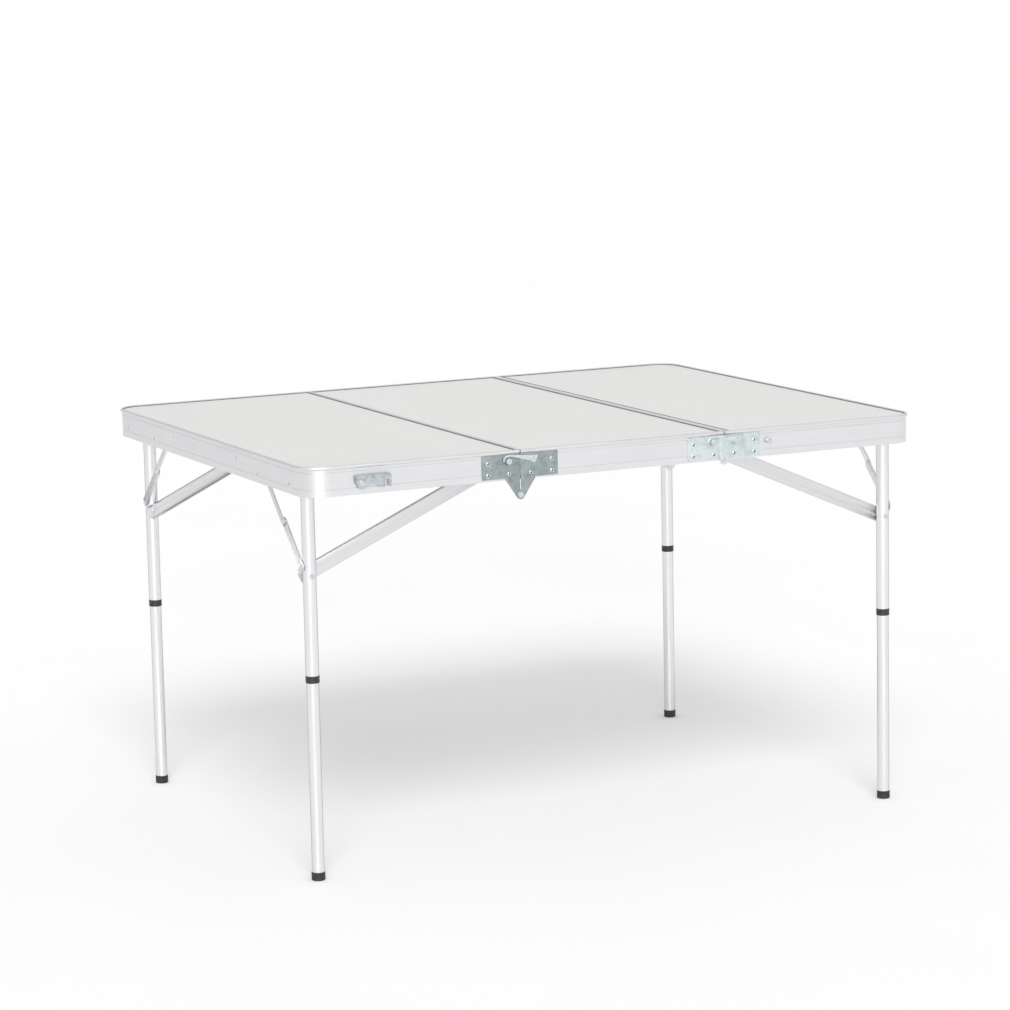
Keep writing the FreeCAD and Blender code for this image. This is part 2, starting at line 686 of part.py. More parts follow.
class LegPlace:
    """Where one leg stands at the left front, and the tilt of its fold."""

    def __init__(self, tag, leg_x, tilt):
        self.tag = tag
        self.x = -leg_x
        self.y = -LEG_Y
        self.out = leg_x
        self.spin = Rotation(UPWARD, -tilt)
        self.centre = Vector(self.x, self.y, 0)

    def point(self, x, y, z):
        """Point moved with the tilt round the upright through the leg."""
        return self.centre + self.spin.multVec(Vector(x, y, z) - self.centre)

    def turn(self, body):
        """Tilt a body drawn square to the table."""
        body.Placement = Placement(self.centre - self.spin.multVec(self.centre), self.spin)
        doc.recompute()
        return body

    def turned(self, name, x, y, z, axis, steps):
        """Turned piece on an axis that tilts with the leg."""
        return lathe(self.tag + name, self.point(x, y, z), self.spin.multVec(axis), steps)


def leg_bracket(place):
    """Sheet bracket under the board, between the end rail and the leg's top."""
    plain = new_body(place.tag + "_bracket_blank")
    low_y = place.y - PLATE_HALF
    high_y = place.y + PLATE_HALF
    outer = place.x - DIM["leg_outer_radius"] - 2.0
    inner = place.x + DIM["leg_outer_radius"] + 0.5
    end = -END_INSIDE + 0.1
    pad(plain, "XY", WEB_LOW, PLATE_THICKNESS, [rectangle(end, low_y, inner + PLATE_THICKNESS, high_y)])
    for plate_x, plate_z in ((end, 655.0), (outer, 657.0), (inner, 657.0)):
        pad(plain, "XY", plate_z, WEB_LOW - plate_z + 0.5, [
            rectangle(plate_x, low_y, plate_x + PLATE_THICKNESS, high_y)
        ])
    drill = place.turned("_bracket_drill", place.x, place.y, LEG_HINGE_Z, OUTWARD,
                         [(-19.0, 19.0, HINGE_PIN_RADIUS)])
    cut = doc.addObject("Part::Cut", place.tag + "_bracket")
    cut.Base = plain
    cut.Tool = drill
    doc.recompute()
    return cut


def leg_pins(place):
    """Hinge pin, brace pin and strut pin, which stay with the panel."""
    hinge = place.turned("_hinge_pin", place.x, place.y, LEG_HINGE_Z, OUTWARD, [
        (-HINGE_PIN_REACH - 1.6, -HINGE_PIN_REACH, 5.0),
        (-HINGE_PIN_REACH - 0.1, HINGE_PIN_REACH + 0.1, HINGE_PIN_RADIUS),
        (HINGE_PIN_REACH, HINGE_PIN_REACH + 1.6, 5.0),
    ])
    brace = place.turned("_brace_pin", -PANEL_END - DIM["rail_wall"], place.y, LEG_HINGE_Z, OUTWARD, [
        (0.0, 11.5, 5.0),
        (11.4, 15.6, HINGE_PIN_RADIUS),
        (15.5, 17.0, 5.0),
    ])
    shift = STRUT_REACH * math.sin(place.spin.Angle)
    strut = place.turned("_strut_pin", place.x, place.y + STRUT_REACH, LEG_HINGE_Z, OUTWARD, [
        (UPPER_STRUT_IN, UPPER_STRUT_OUT + 0.3, PIN_RADIUS),
        (UPPER_STRUT_OUT + 0.2, END_INSIDE - place.out + shift, 4.5),
    ])
    return [hinge, brace, strut]


def upper_leg(place):
    body = new_body(place.tag + "_upper_tube")
    bottom = DIM["leg_upper_bottom"]
    pad(body, "XY", bottom, LEG_HINGE_Z + 12.0 - bottom, [],
        [(place.x, place.y, DIM["leg_outer_radius"]), (place.x, place.y, DIM["leg_bore_radius"])],
        expression="Dimensions.leg_hinge_height + 12 - Dimensions.leg_upper_bottom")
    pocket(body, "YZ", place.x - 20.0, 40.0, [], [(place.y, LEG_HINGE_Z, HINGE_HOLE)])
    pocket(body, "XZ", place.y - 20.0, 40.0, [], [(place.x, DIM["brace_rivet_height"], RIVET_SHANK)])
    pocket(body, "YZ", place.x - 20.0, 20.0, [],
           [(place.y, LEG_HINGE_Z - STRUT_DROP, RIVET_SHANK)])
    return place.turn(body)


def leg_collar(place):
    body = new_body(place.tag + "_collar")
    bottom = DIM["leg_upper_bottom"]
    pad(body, "XY", bottom - 9.0, DIM["collar_height"], [],
        [(place.x, place.y, DIM["collar_radius"]), (place.x, place.y, DIM["lower_leg_radius"] + 0.35)],
        expression="Dimensions.collar_height")
    pocket(body, "XY", bottom, DIM["collar_height"], [], [(place.x, place.y, DIM["leg_outer_radius"])])
    chamfer_rims(body, DIM["collar_radius"], 0.4)
    return body


def lower_leg(place):
    body = new_body(place.tag + "_lower_tube")
    pad(body, "XY", TUBE_FOOT, DIM["lower_leg_top"] - TUBE_FOOT, [],
        [(place.x, place.y, DIM["lower_leg_radius"]), (place.x, place.y, DIM["lower_leg_bore"])],
        expression="Dimensions.lower_leg_top - 4")
    return body


def leg_foot(place):
    body = new_body(place.tag + "_foot")
    pad(body, "XY", 0.0, DIM["foot_height"], [], [(place.x, place.y, DIM["foot_radius"])],
        expression="Dimensions.foot_height")
    pocket(body, "XY", TUBE_FOOT, DIM["foot_height"], [],
           [(place.x, place.y, DIM["lower_leg_radius"])])
    chamfer_rims(body, DIM["foot_radius"], 0.6)
    return body


def leg_brace(place):
    """Sloping channel on the inner side of the leg, up to a pin by the seam."""
    body = new_body(place.tag + "_brace")
    half = DIM["brace_width"] / 2.0
    low_z = DIM["brace_rivet_height"]
    slope = math.atan2(BRACE_TOP_Z - low_z, place.out - BRACE_TOP_X)
    cos_b = math.cos(slope)
    sin_b = math.sin(slope)

    def spot(along, across):
        return (place.x + along * cos_b - across * sin_b, low_z + along * sin_b + across * cos_b)

    def end(across):
        return spot((place.out - BRACE_TOP_X + across * sin_b) / cos_b, across)

    front = place.y + DIM["leg_outer_radius"] + BRACE_GAP
    back = front + DIM["brace_depth"]
    pad(body, "XZ", front, SHEET, [[
        spot(-9.0, -half), end(-half), end(half), spot(-9.0, half),
        spot(-14.0, half - 5.0), spot(-14.0, -half + 5.0),
    ]], expression="Dimensions.sheet_thickness")
    for low, high in ((-half, -half + SHEET), (half - SHEET, half)):
        pad(body, "XZ", front, DIM["brace_depth"], [[
            spot(-9.0, low), end(low), end(high), spot(-9.0, high)
        ]], expression="Dimensions.brace_depth")
    pad(body, "YZ", -BRACE_TOP_X - 1.5, 1.5, [[
        (place.y, LEG_HINGE_Z + 9.0),
        ("arc", (place.y - 9.0, LEG_HINGE_Z), (place.y, LEG_HINGE_Z - 9.0)),
        (back, LEG_HINGE_Z - 9.0),
        (back, LEG_HINGE_Z + 9.0),
    ]], [(place.y, LEG_HINGE_Z, HINGE_HOLE)])
    pocket(body, "XZ", front - 1.0, 4.0, [], [(place.x, low_z, RIVET_SHANK)])
    return place.turn(body)


def leg_rivets(place):
    """Rivets whose shanks stop in the tube wall, clear of the lower leg."""
    low_z = DIM["brace_rivet_height"]
    radius = DIM["leg_outer_radius"]
    web = radius + BRACE_GAP + SHEET
    brace_side = place.turned("_brace_rivet", place.x, place.y, low_z, Vector(0, 1, 0), [
        (RIVET_END, web + 0.1, RIVET_SHANK),
        (radius, radius + BRACE_GAP, 4.2),
        (web, web + 1.4, 4.5),
    ])
    front_side = place.turned("_front_rivet", place.x, place.y, low_z, Vector(0, -1, 0), [
        (RIVET_END, radius + 0.1, RIVET_SHANK),
        (radius, radius + 1.4, 4.5),
    ])
    strut_side = place.turned("_strut_rivet", place.x, place.y, LEG_HINGE_Z - STRUT_DROP, OUTWARD, [
        (RIVET_END, STRUT_OUT + SHEET + 0.2, RIVET_SHANK),
        (STRUT_OUT + SHEET + 0.1, STRUT_OUT + SHEET + 1.4, 4.5),
    ])
    return [brace_side, front_side, strut_side]


def strut_links(place):
    """Two links from the end rail to the leg, straight while the leg is open."""
    top = (place.y + STRUT_REACH, LEG_HINGE_Z)
    low = (place.y, LEG_HINGE_Z - STRUT_DROP)
    dir_y = STRUT_REACH / STRUT_RUN
    dir_z = STRUT_DROP / STRUT_RUN
    knee = (top[0] - dir_y * UPPER_LINK, top[1] - dir_z * UPPER_LINK)
    half = DIM["strut_width"] / 2.0
    upper = new_body(place.tag + "_strut_upper")
    pad(upper, "YZ", place.x - UPPER_STRUT_OUT, UPPER_STRUT_OUT - UPPER_STRUT_IN,
        [capsule(knee[0], knee[1], top[0], top[1], half - 1.0)],
        [(top[0], top[1], PIN_RADIUS + 0.06)])
    pad(upper, "YZ", place.x - UPPER_STRUT_OUT - 0.9, 1.0, [], [(knee[0], knee[1], 4.0)])
    lower = new_body(place.tag + "_strut_lower")
    outside = place.x - STRUT_OUT - DIM["strut_depth"]
    pad(lower, "YZ", place.x - STRUT_OUT - SHEET, SHEET,
        [capsule(low[0], low[1], knee[0], knee[1], half)],
        [(low[0], low[1], RIVET_SHANK + 0.06)], expression="Dimensions.sheet_thickness")

    def spot(along, across):
        return (low[0] + along * dir_y - across * dir_z, low[1] + along * dir_z + across * dir_y)

    run = STRUT_RUN - UPPER_LINK
    for near, far in ((-half, -half + SHEET), (half - SHEET, half)):
        pad(lower, "YZ", outside, DIM["strut_depth"], [[
            spot(0.0, near), spot(run, near), spot(run, far), spot(0.0, far)
        ]], expression="Dimensions.strut_depth")
    pad(lower, "YZ", outside, DIM["strut_depth"] - 0.5, [], [(knee[0], knee[1], 4.5)])
    return place.turn(upper), place.turn(lower)


def leg_nodes(place):
    upper_link, lower_link = strut_links(place)
    return {
        "leg_upper": [upper_leg(place)],
        "leg_brace": [leg_brace(place)],
        "leg_collar": [leg_collar(place)],
        "leg_lower": [lower_leg(place)],
        "leg_foot": [leg_foot(place)],
        "leg_rivets": leg_rivets(place),
        "strut_upper": [upper_link],
        "strut_lower": [lower_link],
    }


def mirrored(pieces, suffix, normal):
    return [mirror(piece.Name + suffix, piece, normal) for piece in pieces]


front_place = LegPlace("front_leg", FRONT_LEG_X, 0.0)
back_place = LegPlace("back_leg", BACK_LEG_X, DIM["back_leg_tilt"])
ACROSS = Vector(0, 1, 0)
ALONG = Vector(1, 0, 0)

left_brackets = [leg_bracket(front_place)] + mirrored([leg_bracket(back_place)], "_m", ACROSS)
left_pins = leg_pins(front_place) + mirrored(leg_pins(back_place), "_m", ACROSS)
nodes["left_leg_brackets"] = left_brackets
nodes["left_leg_pins"] = left_pins
nodes["right_leg_brackets"] = mirrored(left_brackets, "_right", ALONG)
nodes["right_leg_pins"] = mirrored(left_pins, "_right", ALONG)

for label, pieces in leg_nodes(front_place).items():
    nodes["left_front_" + label] = pieces
    nodes["right_front_" + label] = mirrored(pieces, "_right", ALONG)
for label, pieces in leg_nodes(back_place).items():
    at_back = mirrored(pieces, "_m", ACROSS)
    nodes["left_back_" + label] = at_back
    nodes["right_back_" + label] = mirrored(at_back, "_right", ALONG)

# ---------------------------------------------------------------- checks and export

doc.recompute()
for item in doc.Objects:
    if "Invalid" in item.State or "Error" in item.State:
        raise RuntimeError("failed: " + item.Name)

os.makedirs("parts", exist_ok=True)
for name, pieces in sorted(nodes.items()):
    shapes = [piece.Shape for piece in pieces]
    for shape in shapes:
        if shape.isNull() or not shape.isValid() or len(shape.Solids) != 1:
            raise RuntimeError("bad shape in " + name)
    result = shapes[0] if len(shapes) == 1 else Part.makeCompound(shapes)
    result.exportStep("parts/%s.step" % name)
print("nodes", len(nodes))
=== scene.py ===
import json
import math

import bmesh
import bpy
from mathutils import Matrix, Vector


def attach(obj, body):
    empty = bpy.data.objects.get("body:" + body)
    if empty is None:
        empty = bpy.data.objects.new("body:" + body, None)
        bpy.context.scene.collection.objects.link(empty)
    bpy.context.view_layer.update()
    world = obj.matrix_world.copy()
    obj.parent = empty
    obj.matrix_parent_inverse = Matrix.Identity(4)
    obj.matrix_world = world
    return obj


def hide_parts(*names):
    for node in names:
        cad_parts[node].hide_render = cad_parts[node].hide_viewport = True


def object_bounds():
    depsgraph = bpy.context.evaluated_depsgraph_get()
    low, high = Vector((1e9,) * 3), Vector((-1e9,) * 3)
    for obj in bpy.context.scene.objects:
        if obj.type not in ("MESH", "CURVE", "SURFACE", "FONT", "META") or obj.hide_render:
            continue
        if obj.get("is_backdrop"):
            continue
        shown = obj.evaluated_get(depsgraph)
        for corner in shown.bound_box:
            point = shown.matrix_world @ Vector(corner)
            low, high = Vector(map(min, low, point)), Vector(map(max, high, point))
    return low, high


# Folding picnic table in metres: X along the table, Y across it (front is -Y), Z up.
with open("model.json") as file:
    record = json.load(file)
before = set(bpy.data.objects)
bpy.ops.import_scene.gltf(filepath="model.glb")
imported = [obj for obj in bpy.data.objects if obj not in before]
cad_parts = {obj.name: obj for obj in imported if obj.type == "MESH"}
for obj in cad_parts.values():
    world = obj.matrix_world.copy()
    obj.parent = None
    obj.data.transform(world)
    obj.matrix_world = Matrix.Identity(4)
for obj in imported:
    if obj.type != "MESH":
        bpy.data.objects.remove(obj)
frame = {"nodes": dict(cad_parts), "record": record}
cad_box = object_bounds()
NODES = frame["nodes"]

SIDES = ("left", "right")
ENDS = ("front", "back")
LEGS = ["%s_%s" % (side, end) for side in SIDES for end in ENDS]
UPRIGHT = Vector((0.0, 0.0, 1.0))

BODY_OF = {}
for body_name, members in frame["record"]["behaviour"]["bodies"].items():
    for member in members:
        BODY_OF[member] = body_name


# ---------------------------------------------------------------- materials

def grey(light):
    return (light, light, light)


class Surface:
    """A material with a Principled shader and short calls for its texture nodes."""

    def __init__(self, name, colour, roughness, metallic=0.0):
        self.material = bpy.data.materials.new(name)
        self.material.use_nodes = True
        self.tree = self.material.node_tree
        self.shader = self.tree.nodes["Principled BSDF"]
        self.shader.inputs["Base Color"].default_value = (*colour, 1.0)
        self.shader.inputs["Roughness"].default_value = roughness
        self.shader.inputs["Metallic"].default_value = metallic
        self.coordinates = self.add("ShaderNodeTexCoord").outputs["Object"]

    def add(self, kind, **settings):
        node = self.tree.nodes.new(kind)
        for key, setting in settings.items():
            setattr(node, key, setting)
        return node

    def join(self, output, target):
        self.tree.links.new(output, target)

    def mapped(self, scale, turn_y=0.0):
        """Object coordinates turned about Y, then scaled to features per metre."""
        turn = self.add("ShaderNodeMapping")
        turn.inputs["Rotation"].default_value = (0.0, turn_y, 0.0)
        self.join(self.coordinates, turn.inputs["Vector"])
        stretch = self.add("ShaderNodeMapping")
        stretch.inputs["Scale"].default_value = scale
        self.join(turn.outputs["Vector"], stretch.inputs["Vector"])
        return stretch.outputs["Vector"]

    def noise(self, scale, detail, roughness, turn_y=0.0):
        """Noise with scale features per metre, given along X, Y and Z or once for all three."""
        node = self.add("ShaderNodeTexNoise")
        node.inputs["Scale"].default_value = 1.0
        node.inputs["Detail"].default_value = detail
        node.inputs["Roughness"].default_value = roughness
        axes = scale if isinstance(scale, tuple) else (scale, scale, scale)
        self.join(self.mapped(axes, turn_y), node.inputs["Vector"])
        return node.outputs["Fac"]

    def cells(self, scale):
        """A random grey for each Voronoi cell."""
        node = self.add("ShaderNodeTexVoronoi")
        node.inputs["Scale"].default_value = scale
        self.join(self.mapped((1.0, 1.0, 1.0)), node.inputs["Vector"])
        shade = self.add("ShaderNodeRGBToBW")
        self.join(node.outputs["Color"], shade.inputs["Color"])
        return shade.outputs["Val"]

    def spread(self, value, low, high, start=0.0, end=1.0):
        """Maps value from start..end to low..high, clamped."""
        node = self.add("ShaderNodeMapRange")
        node.inputs["From Min"].default_value = start
        node.inputs["From Max"].default_value = end
        node.inputs["To Min"].default_value = low
        node.inputs["To Max"].default_value = high
        self.join(value, node.inputs["Value"])
        return node.outputs["Result"]

    def times(self, first, second):
        node = self.add("ShaderNodeMath", operation="MULTIPLY")
        self.join(first, node.inputs[0])
        self.join(second, node.inputs[1])
        return node.outputs["Value"]

    def colour(self, value, stops):
        """Drives the base colour by a ramp of (position, colour) stops."""
        ramp = self.add("ShaderNodeValToRGB")
        elements = ramp.color_ramp.elements
        while len(elements) < len(stops):
            elements.new(0.5)
        for element, (position, tint) in zip(elements, stops):
            element.position = position
            element.color = (*tint, 1.0)
        self.join(value, ramp.inputs["Fac"])
        self.join(ramp.outputs["Color"], self.shader.inputs["Base Color"])

    def roughness(self, value):
        self.join(value, self.shader.inputs["Roughness"])

    def bump(self, layers):
        """Stacks (height, strength, distance) layers into one normal."""
        normal = None
        for height, strength, distance in layers:
            node = self.add("ShaderNodeBump")
            node.inputs["Strength"].default_value = strength
            node.inputs["Distance"].default_value = distance
            self.join(height, node.inputs["Height"])
            if normal is not None:
                self.join(normal, node.inputs["Normal"])
            normal = node.outputs["Normal"]
        self.join(normal, self.shader.inputs["Normal"])


def drawn_aluminium(name, grain, turn_y=0.0, light=0.84, rough=0.36, edge=0.55):
    """Satin anodised aluminium; grain is how fast the die lines vary along X, Y and Z. edge is a
    grey specular tint that darkens reflections at grazing angles, which is painted shade on tube
    edges and slanted faces.
    """
    made = Surface(name, grey(light), rough, 1.0)
    # A specular tint below white darkens reflections at grazing angles: painted shade on edges and
    # slanted faces.
    made.shader.inputs["Specular Tint"].default_value = (*grey(edge), 1.0)
    lines = made.noise(grain, 3.0, 0.6, turn_y)
    clouds = made.noise(9.0, 3.0, 0.6)
    specks = made.noise(700.0, 1.0, 0.5)
    made.colour(made.times(lines, made.spread(clouds, 0.9, 1.1)), [
        (0.25, (light * 0.92, light * 0.925, light * 0.945)),
        (0.52, (light, light * 1.003, light * 1.018)),
        (0.80, (light * 1.03, light * 1.035, light * 1.05)),
    ])
    streaks = made.times(clouds, made.spread(lines, 0.8, 1.2))
    made.roughness(made.spread(streaks, rough - 0.05, rough + 0.07, 0.3, 0.7))
    made.bump([(lines, 0.22, 0.00006), (specks, 0.12, 0.00003)])
    return made.material


def laminate():
    """Pale grey laminate with a faint fibre and a fine moulded grain."""
    made = Surface("laminate_board", (0.65, 0.65, 0.635), 0.42)
    cloud = made.noise(3.0, 4.0, 0.55)
    fibre = made.noise((420.0, 60.0, 200.0), 3.0, 0.6)
    grain = made.noise(1400.0, 2.0, 0.5)
    made.colour(made.times(made.spread(cloud, 0.9, 1.1), made.spread(fibre, 0.85, 1.15)), [
        (0.80, (0.620, 0.620, 0.604)),
        (0.97, (0.660, 0.660, 0.644)),
        (1.00, (0.685, 0.685, 0.669)),
    ])
    made.roughness(made.spread(cloud, 0.38, 0.52, 0.3, 0.7))
    made.bump([(grain, 0.12, 0.00008), (fibre, 0.06, 0.00010)])
    made.shader.inputs["Coat Weight"].default_value = 0.10
    made.shader.inputs["Coat Roughness"].default_value = 0.3
    return made.material


def zinc(name, dark, middle, pale):
    """Zinc-plated sheet with small spangle, clouds and rolling lines."""
    made = Surface(name, middle, 0.38, 1.0)
    spangle = made.cells(650.0)
    clouds = made.noise(70.0, 4.0, 0.6)
    rolled = made.noise((40.0, 40.0, 1400.0), 2.0, 0.5)
    body = made.times(made.spread(spangle, 0.95, 1.05), made.spread(clouds, 0.75, 1.25))
    made.colour(made.times(body, made.spread(rolled, 0.9, 1.1)), [
        (0.80, dark),
        (0.97, middle),
        (1.00, pale),
    ])
    made.roughness(made.spread(made.times(spangle, clouds), 0.30, 0.46, 0.1, 0.5))
    made.bump([(spangle, 0.03, 0.00008), (clouds, 0.10, 0.0002), (rolled, 0.10, 0.00004)])
    return made.material


def plated():
    """Plated steel of rivets, studs and pins."""
    made = Surface("plated_rivet", (0.66, 0.67, 0.68), 0.26, 1.0)
    clouds = made.noise(350.0, 3.0, 0.6)
    made.colour(clouds, [(0.3, (0.58, 0.60, 0.61)), (0.7, (0.76, 0.78, 0.79))])
    made.roughness(made.spread(clouds, 0.18, 0.36, 0.3, 0.7))
    made.bump([(clouds, 0.10, 0.0001)])
    return made.material


def black_moulding(name, light, roughness):
    """Dark plastic or rubber with a moulded grain and a little dust."""
    made = Surface(name, grey(light), roughness)
    grain = made.noise(1800.0, 2.0, 0.5)
    dust = made.noise(90.0, 4.0, 0.6)
    made.colour(dust, [
        (0.35, (light, light, light * 1.1)),
        (0.75, (light * 2.0, light * 2.0, light * 2.1)),
    ])
    made.roughness(made.spread(dust, roughness - 0.08, roughness + 0.10, 0.3, 0.7))
    made.bump([(grain, 0.25, 0.0001)])
    return made.material


BRACE_SLOPE = math.radians(24.1)
BRACE_GRAIN = (6.0, 6.0, 900.0)

# Each part's edge tint is set separately: it is painted shade at grazing angles, and it is
# strongest on the tubes.
RAIL = drawn_aluminium("aluminium_rail", (5.0, 5.0, 1500.0), light=0.79, rough=0.40, edge=0.85)
SEAM = drawn_aluminium("aluminium_seam", (900.0, 5.0, 900.0), edge=1.0)
TUBE = drawn_aluminium("aluminium_tube", (220.0, 220.0, 3.0), rough=0.33, edge=0.36)
BRACE_LEFT = drawn_aluminium("aluminium_brace_left", BRACE_GRAIN, BRACE_SLOPE, 0.76)
BRACE_RIGHT = drawn_aluminium("aluminium_brace_right", BRACE_GRAIN, -BRACE_SLOPE, 0.76)
STRUT = drawn_aluminium("aluminium_strut", (300.0, 90.0, 90.0))
LAMINATE = laminate()
# The next two materials are one zinc-plated sheet in a darker and a paler copy: the darker is
# painted shade on the left hinges, the paler is painted light on the right hinges and the hooks.
ZINC_PAINTED_SHADE = zinc("zinc_left_painted_shade", (0.26, 0.315, 0.32), (0.31, 0.365, 0.37), (0.38, 0.435, 0.44))
ZINC_PAINTED_LIGHT = zinc("zinc_right_painted_light", (0.53, 0.61, 0.61), (0.62, 0.70, 0.70), (0.72, 0.79, 0.79))
ZINC = zinc("zinc_latch", (0.34, 0.38, 0.40), (0.44, 0.48, 0.50), (0.58, 0.62, 0.65))
RIVET = plated()
# Near-black lining of the rivet hollows: painted shade inside the holes.
RIVET_HOLLOW_SHADE = black_moulding("rivet_hollow_painted_shade", 0.030, 0.5)
GASKET = black_moulding("edge_gasket", 0.09, 0.55)
BLACK_PLASTIC = black_moulding("black_plastic", 0.018, 0.42)
BLACK_RUBBER = black_moulding("black_rubber", 0.016, 0.60)


def material_for(node):
    """Material of a CAD node by its name."""
    if "tabletop" in node:
        return LAMINATE
    if node.endswith("collar"):
        return BLACK_PLASTIC
    if node.endswith("foot"):
        return BLACK_RUBBER
    if "rivets" in node or "pins" in node:
        return RIVET
    if "strut" in node:
        return STRUT
    if "brace" in node:
        return BRACE_LEFT if node.startswith("left") else BRACE_RIGHT
    if "hinge" in node:
        # Left hinges take the darker zinc copy as painted shade; right hinges take the paler copy
        # as painted light.
        return ZINC_PAINTED_SHADE if node.startswith("left") else ZINC_PAINTED_LIGHT
    if "hook" in node:
        # Hooks take the paler zinc copy, which is painted light.
        return ZINC_PAINTED_LIGHT
    if "clasp" in node or "bracket" in node:
        return ZINC
    if "leg_upper" in node or "leg_lower" in node:
        return TUBE
    if "seam_rail" in node:
        return SEAM
    return RAIL


for name, item in NODES.items():
    for index in range(len(item.material_slots)):
        item.material_slots[index].material = material_for(name)


# ---------------------------------------------------------------- mesh helpers

WELD_DISTANCE = 2e-6
FLAT_ANGLE = math.radians(0.8)
EDGE_ANGLE = math.radians(50.0)
ON_AXIS = 1e-7


def piece(name, shape, materials, body, smooth=True):
    """Object from a bmesh that rides on a body."""
    mesh = bpy.data.meshes.new(name)
    shape.to_mesh(mesh)
    shape.free()
    for material in materials:
        mesh.materials.append(material)
    if smooth:
        mesh.polygons.foreach_set("use_smooth", [True] * len(mesh.polygons))
    item = bpy.data.objects.new(name, mesh)
    bpy.context.scene.collection.objects.link(item)
    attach(item, body)
    return item


def cad_shape(node):
    """Welded copy of a CAD node with its flat faces joined."""
    source = NODES[node]
    shape = bmesh.new()
    shape.from_mesh(source.data)
    shape.transform(source.matrix_world)
    bmesh.ops.remove_doubles(shape, verts=shape.verts, dist=WELD_DISTANCE)
    bmesh.ops.dissolve_limit(
        shape, angle_limit=FLAT_ANGLE, verts=shape.verts, edges=shape.edges
    )
    for face in shape.faces:
        face.material_index = 0
    return shape


def break_edges(item, width):
    """Small bevel on sharp edges, which catches the light."""
    bevel = item.modifiers.new("broken_edges", "BEVEL")
    bevel.width = width
    bevel.segments = 2
    bevel.limit_method = "ANGLE"
    bevel.angle_limit = EDGE_ANGLE
    bevel.harden_normals = True


def bevelled(node, width):
    """A CAD sheet-metal node with broken edges."""
    item = piece(node + "_finished", cad_shape(node), [material_for(node)], BODY_OF[node])
    break_edges(item, width)
    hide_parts(node)


def extent(points):
    """Lowest and highest corner of the box round some points."""
    low = Vector([min(point[k] for point in points) for k in range(3)])
    high = Vector([max(point[k] for point in points) for k in range(3)])
    return low, high


def frame_on(axis):
    """Rotation that takes Z to an axis."""
    return axis.to_track_quat("Z", "Y").to_matrix().to_4x4()


def turned(shape, profile, place, axis, segments=32, material=0):
    """Adds a lathed surface; profile is a list of (radius, height)."""
    move = Matrix.Translation(place) @ frame_on(axis)
    rings = []
    for radius, height in profile:
        if radius < ON_AXIS:
            rings.append([shape.verts.new(move @ Vector((0.0, 0.0, height)))])
            continue
        rings.append([
            shape.verts.new(move @ Vector((
                radius * math.cos(2.0 * math.pi * step / segments),
                radius * math.sin(2.0 * math.pi * step / segments),
                height,
            )))
            for step in range(segments)
        ])
    for low, high in zip(rings, rings[1:]):
        for step in range(segments):
            after = (step + 1) % segments
            corners = [
                low[step % len(low)],
                low[after % len(low)],
                high[after % len(high)],
                high[step % len(high)],
            ]
            face = shape.faces.new(list(dict.fromkeys(corners)))
            face.material_index = material


def islands(shape):
    """Connected groups of vertices."""
    seen = set()
    for start in shape.verts:
        if start in seen:
            continue
        group = []
        stack = [start]
        seen.add(start)
        while stack:
            vert = stack.pop()
            group.append(vert)
            for edge in vert.link_edges:
                other = edge.other_vert(vert)
                if other not in seen:
                    seen.add(other)
                    stack.append(other)
        yield group


# ---------------------------------------------------------------- rivets

DOME_HEIGHT = 0.0016
BARREL_SHARE = 0.42
RIVET_EDGE = 0.00025


def blind_rivet(shape, place, axis, radius, height):
    """Domed ring with a hollow where the mandrel broke off; the hollow takes the second material,
    near-black as painted shade.
    """
    barrel = radius * BARREL_SHARE
    turned(shape, [
        (radius * 0.98, 0.0),
        (radius, height * 0.22),
        (radius * 0.93, height * 0.52),
        (radius * 0.76, height * 0.84),
        (radius * 0.56, height),
        (barrel * 1.12, height * 0.97),
        (barrel, height * 0.80),
    ], place, axis)
    # Hollow faces take material 1, which is painted near-black as shade.
    turned(shape, [
        (barrel, height * 0.80),
        (barrel * 0.96, height * 0.15),
        (barrel * 0.55, height * 0.15),
        (barrel * 0.40, height * 0.40),
        (0.0, height * 0.44),
    ], place, axis, material=1)


def panel_rivets(node):
    """Blind rivets in place of the plain heads; studs and pivots keep their turned shape."""
    source = cad_shape(node)
    shape = bmesh.new()
    for group in islands(source):
        low, high = extent([vert.co for vert in group])
        size = high - low
        flat = min(range(3), key=lambda k: size[k])
        centre = (low + high) / 2.0
        if size[flat] > DOME_HEIGHT:
            faces = dict.fromkeys(face for vert in group for face in vert.link_faces)
            copies = {vert: shape.verts.new(vert.co) for vert in group}
            for face in faces:
                shape.faces.new([copies[vert] for vert in face.verts])
            continue
        axis = Vector([0.0, 0.0, 0.0])
        axis[flat] = 1.0 if centre[flat] > 0.0 else -1.0
        base = centre.copy()
        base[flat] -= axis[flat] * size[flat] / 2.0
        blind_rivet(shape, base, axis, (sum(size) - size[flat]) / 4.0, size[flat])
    source.free()
    bmesh.ops.recalc_face_normals(shape, faces=shape.faces)
    # The second material is the painted shade of the rivet hollows.
    item = piece(node + "_finished", shape, [RIVET, RIVET_HOLLOW_SHADE], BODY_OF[node])
    break_edges(item, RIVET_EDGE)
    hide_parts(node)


# ---------------------------------------------------------------- collars and feet

UPPER_TUBE_RADIUS = 0.0112
LOWER_TUBE_RADIUS = 0.01045
MOULDING_SEGMENTS = 48
PROFILE_WELD = 1e-6


def stand_of(node):
    """Bottom centre, radius and height of an upright round CAD node."""
    item = NODES[node]
    low, high = extent([item.matrix_world @ Vector(corner) for corner in item.bound_box])
    base = Vector(((low.x + high.x) / 2.0, (low.y + high.y) / 2.0, low.z))
    return base, (high.x - low.x) / 2.0, high.z - low.z


def grooves(outer, centres, half_width, half_floor, depth):
    """Profile points of shallow grooves in an outer wall."""
    points = []
    for centre in centres:
        points += [
            (outer, centre - half_width),
            (outer - depth, centre - half_floor),
            (outer - depth, centre + half_floor),
            (outer, centre + half_width),
        ]
    return points


